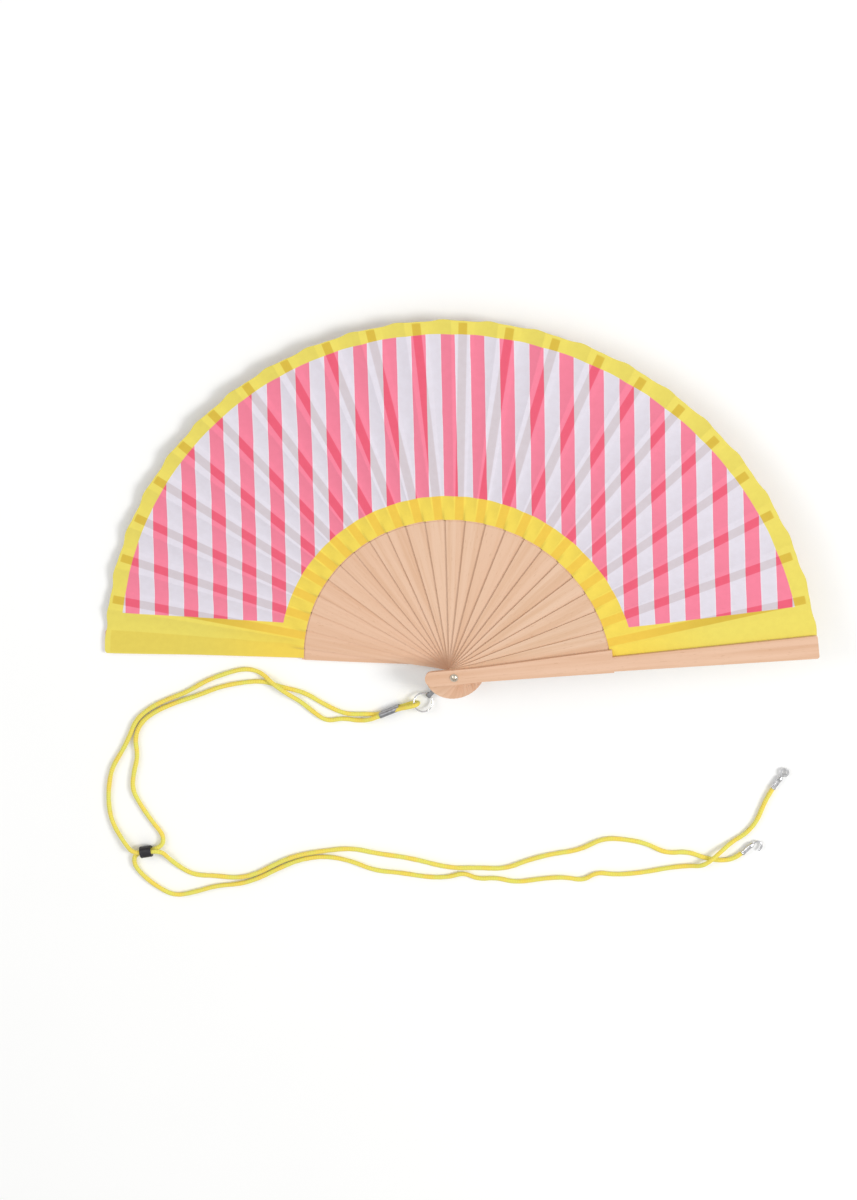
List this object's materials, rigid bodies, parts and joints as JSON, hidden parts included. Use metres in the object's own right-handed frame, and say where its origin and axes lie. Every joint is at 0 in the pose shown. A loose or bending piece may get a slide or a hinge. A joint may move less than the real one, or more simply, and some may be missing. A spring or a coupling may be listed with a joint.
{
  "type": "folding hand fan",
  "caption": "Folding hand fan with thin wooden ribs between two broader guards, a pleated cloth leaf and a braided neck lanyard on a split ring, lying open.",
  "frame": {"origin": "on the pivot pin's axis, in the back guard's outer face, which lies on the table", "axes": "+Z along the pin from the back guard to the front guard; +Y towards the middle of the open leaf; +X towards the front guard's tip"},
  "size_m": [0.4269, 0.3653, 0.029],
  "materials": {
    "beech": "fine sanded, clear matt lacquer",
    "leaf_cloth": "plain-woven printed cotton: yellow border, pink and white stripes",
    "rivet_metal": "polished nickel plate",
    "fitting_metal": "polished nickel plate",
    "braid": "soft round braid",
    "bead_plastic": "satin black"
  },
  "bodies": {
    "back_guard_body": {"back_guard": "beech", "leaf_panel_01": "leaf_cloth", "pivot_pin": "rivet_metal", "pivot_washers": "rivet_metal"},
    "rib_01_body": {"rib_01": "beech", "leaf_panel_02": "leaf_cloth"},
    "rib_02_body": {"rib_02": "beech", "leaf_panel_03": "leaf_cloth"},
    "rib_03_body": {"rib_03": "beech", "leaf_panel_04": "leaf_cloth"},
    "rib_04_body": {"rib_04": "beech", "leaf_panel_05": "leaf_cloth"},
    "rib_05_body": {"rib_05": "beech", "leaf_panel_06": "leaf_cloth"},
    "rib_06_body": {"rib_06": "beech", "leaf_panel_07": "leaf_cloth"},
    "rib_07_body": {"rib_07": "beech", "leaf_panel_08": "leaf_cloth"},
    "rib_08_body": {"rib_08": "beech", "leaf_panel_09": "leaf_cloth"},
    "rib_09_body": {"rib_09": "beech", "leaf_panel_10": "leaf_cloth"},
    "rib_10_body": {"rib_10": "beech", "leaf_panel_11": "leaf_cloth"},
    "rib_11_body": {"rib_11": "beech", "leaf_panel_12": "leaf_cloth"},
    "rib_12_body": {"rib_12": "beech", "leaf_panel_13": "leaf_cloth"},
    "rib_13_body": {"rib_13": "beech", "leaf_panel_14": "leaf_cloth"},
    "rib_14_body": {"rib_14": "beech", "leaf_panel_15": "leaf_cloth"},
    "rib_15_body": {"rib_15": "beech", "leaf_panel_16": "leaf_cloth"},
    "rib_16_body": {"rib_16": "beech", "leaf_panel_17": "leaf_cloth"},
    "rib_17_body": {"rib_17": "beech", "leaf_panel_18": "leaf_cloth"},
    "rib_18_body": {"rib_18": "beech", "leaf_panel_19": "leaf_cloth"},
    "rib_19_body": {"rib_19": "beech", "leaf_panel_20": "leaf_cloth"},
    "rib_20_body": {"rib_20": "beech", "leaf_panel_21": "leaf_cloth"},
    "rib_21_body": {"rib_21": "beech", "leaf_panel_22": "leaf_cloth"},
    "rib_22_body": {"rib_22": "beech", "leaf_panel_23": "leaf_cloth"},
    "front_guard_body": {"front_guard": "beech", "leaf_panel_24": "leaf_cloth"},
    "lanyard_body": {"lanyard_tab": "fitting_metal", "cord_crimp": "fitting_metal", "lanyard_cord_a": "braid", "lanyard_cord_b": "braid", "hook_ferrule": "fitting_metal", "closing_hook": "fitting_metal", "eye_ferrule": "fitting_metal", "closing_eye": "fitting_metal"},
    "split_ring_body": {"split_ring": "fitting_metal"},
    "slide_bead_body": {"slide_bead": "bead_plastic"}
  },
  "joints": [
    {"name": "fan_fold", "type": "hinge", "parent": "back_guard_body", "child": "rib_01_body", "pos_m": [0, 0, 0.0033], "axis": [0, 0, 1], "range_deg": [0, 7.06]},
    {"name": "rib_02_fold", "type": "hinge", "parent": "rib_01_body", "child": "rib_02_body", "pos_m": [0, 0, 0.0043], "axis": [0, 0, 1], "range_deg": [0, 7.42]},
    {"name": "rib_03_fold", "type": "hinge", "parent": "rib_02_body", "child": "rib_03_body", "pos_m": [0, 0, 0.0053], "axis": [0, 0, 1], "range_deg": [0, 7.42]},
    {"name": "rib_04_fold", "type": "hinge", "parent": "rib_03_body", "child": "rib_04_body", "pos_m": [0, 0, 0.0063], "axis": [0, 0, 1], "range_deg": [0, 7.42]},
    {"name": "rib_05_fold", "type": "hinge", "parent": "rib_04_body", "child": "rib_05_body", "pos_m": [0, 0, 0.0073], "axis": [0, 0, 1], "range_deg": [0, 7.42]},
    {"name": "rib_06_fold", "type": "hinge", "parent": "rib_05_body", "child": "rib_06_body", "pos_m": [0, 0, 0.0083], "axis": [0, 0, 1], "range_deg": [0, 7.42]},
    {"name": "rib_07_fold", "type": "hinge", "parent": "rib_06_body", "child": "rib_07_body", "pos_m": [0, 0, 0.0093], "axis": [0, 0, 1], "range_deg": [0, 7.42]},
    {"name": "rib_08_fold", "type": "hinge", "parent": "rib_07_body", "child": "rib_08_body", "pos_m": [0, 0, 0.0103], "axis": [0, 0, 1], "range_deg": [0, 7.42]},
    {"name": "rib_09_fold", "type": "hinge", "parent": "rib_08_body", "child": "rib_09_body", "pos_m": [0, 0, 0.0113], "axis": [0, 0, 1], "range_deg": [0, 7.42]},
    {"name": "rib_10_fold", "type": "hinge", "parent": "rib_09_body", "child": "rib_10_body", "pos_m": [0, 0, 0.0123], "axis": [0, 0, 1], "range_deg": [0, 7.42]},
    {"name": "rib_11_fold", "type": "hinge", "parent": "rib_10_body", "child": "rib_11_body", "pos_m": [0, 0, 0.0133], "axis": [0, 0, 1], "range_deg": [0, 7.42]},
    {"name": "rib_12_fold", "type": "hinge", "parent": "rib_11_body", "child": "rib_12_body", "pos_m": [0, 0, 0.0143], "axis": [0, 0, 1], "range_deg": [0, 7.42]},
    {"name": "rib_13_fold", "type": "hinge", "parent": "rib_12_body", "child": "rib_13_body", "pos_m": [0, 0, 0.0153], "axis": [0, 0, 1], "range_deg": [0, 7.42]},
    {"name": "rib_14_fold", "type": "hinge", "parent": "rib_13_body", "child": "rib_14_body", "pos_m": [0, 0, 0.0163], "axis": [0, 0, 1], "range_deg": [0, 7.42]},
    {"name": "rib_15_fold", "type": "hinge", "parent": "rib_14_body", "child": "rib_15_body", "pos_m": [0, 0, 0.0173], "axis": [0, 0, 1], "range_deg": [0, 7.42]},
    {"name": "rib_16_fold", "type": "hinge", "parent": "rib_15_body", "child": "rib_16_body", "pos_m": [0, 0, 0.0183], "axis": [0, 0, 1], "range_deg": [0, 7.42]},
    {"name": "rib_17_fold", "type": "hinge", "parent": "rib_16_body", "child": "rib_17_body", "pos_m": [0, 0, 0.0193], "axis": [0, 0, 1], "range_deg": [0, 7.42]},
    {"name": "rib_18_fold", "type": "hinge", "parent": "rib_17_body", "child": "rib_18_body", "pos_m": [0, 0, 0.0203], "axis": [0, 0, 1], "range_deg": [0, 7.42]},
    {"name": "rib_19_fold", "type": "hinge", "parent": "rib_18_body", "child": "rib_19_body", "pos_m": [0, 0, 0.0213], "axis": [0, 0, 1], "range_deg": [0, 7.42]},
    {"name": "rib_20_fold", "type": "hinge", "parent": "rib_19_body", "child": "rib_20_body", "pos_m": [0, 0, 0.0223], "axis": [0, 0, 1], "range_deg": [0, 7.42]},
    {"name": "rib_21_fold", "type": "hinge", "parent": "rib_20_body", "child": "rib_21_body", "pos_m": [0, 0, 0.0233], "axis": [0, 0, 1], "range_deg": [0, 7.42]},
    {"name": "rib_22_fold", "type": "hinge", "parent": "rib_21_body", "child": "rib_22_body", "pos_m": [0, 0, 0.0243], "axis": [0, 0, 1], "range_deg": [0, 7.42]},
    {"name": "front_guard_fold", "type": "hinge", "parent": "rib_22_body", "child": "front_guard_body", "pos_m": [0, 0, 0.0253], "axis": [0, 0, 1], "range_deg": [0, 7.82]},
    {"name": "lanyard_swing", "type": "hinge", "parent": "back_guard_body", "child": "lanyard_body", "pos_m": [0, 0, 0.0029], "axis": [0, 0, 1], "range_deg": [0, 30]},
    {"name": "split_ring_spin", "type": "hinge", "parent": "lanyard_body", "child": "split_ring_body", "pos_m": [-0.02114, -0.02431, 0.0035], "axis": [0.2244, 0.2581, 0.9397], "continuous": true},
    {"name": "bead_slide", "type": "slide", "parent": "lanyard_body", "child": "slide_bead_body", "axis": [0.9816, 0.1908, 0], "range_m": [0, 0.002]}
  ],
  "couplings": [
    {"joint": "rib_02_fold", "follows": "fan_fold", "ratio": 1.051},
    {"joint": "rib_03_fold", "follows": "fan_fold", "ratio": 1.051},
    {"joint": "rib_04_fold", "follows": "fan_fold", "ratio": 1.051},
    {"joint": "rib_05_fold", "follows": "fan_fold", "ratio": 1.051},
    {"joint": "rib_06_fold", "follows": "fan_fold", "ratio": 1.051},
    {"joint": "rib_07_fold", "follows": "fan_fold", "ratio": 1.051},
    {"joint": "rib_08_fold", "follows": "fan_fold", "ratio": 1.051},
    {"joint": "rib_09_fold", "follows": "fan_fold", "ratio": 1.051},
    {"joint": "rib_10_fold", "follows": "fan_fold", "ratio": 1.051},
    {"joint": "rib_11_fold", "follows": "fan_fold", "ratio": 1.051},
    {"joint": "rib_12_fold", "follows": "fan_fold", "ratio": 1.051},
    {"joint": "rib_13_fold", "follows": "fan_fold", "ratio": 1.051},
    {"joint": "rib_14_fold", "follows": "fan_fold", "ratio": 1.051},
    {"joint": "rib_15_fold", "follows": "fan_fold", "ratio": 1.051},
    {"joint": "rib_16_fold", "follows": "fan_fold", "ratio": 1.051},
    {"joint": "rib_17_fold", "follows": "fan_fold", "ratio": 1.051},
    {"joint": "rib_18_fold", "follows": "fan_fold", "ratio": 1.051},
    {"joint": "rib_19_fold", "follows": "fan_fold", "ratio": 1.051},
    {"joint": "rib_20_fold", "follows": "fan_fold", "ratio": 1.051},
    {"joint": "rib_21_fold", "follows": "fan_fold", "ratio": 1.051},
    {"joint": "rib_22_fold", "follows": "fan_fold", "ratio": 1.051},
    {"joint": "front_guard_fold", "follows": "fan_fold", "ratio": 1.1076}
  ]
}
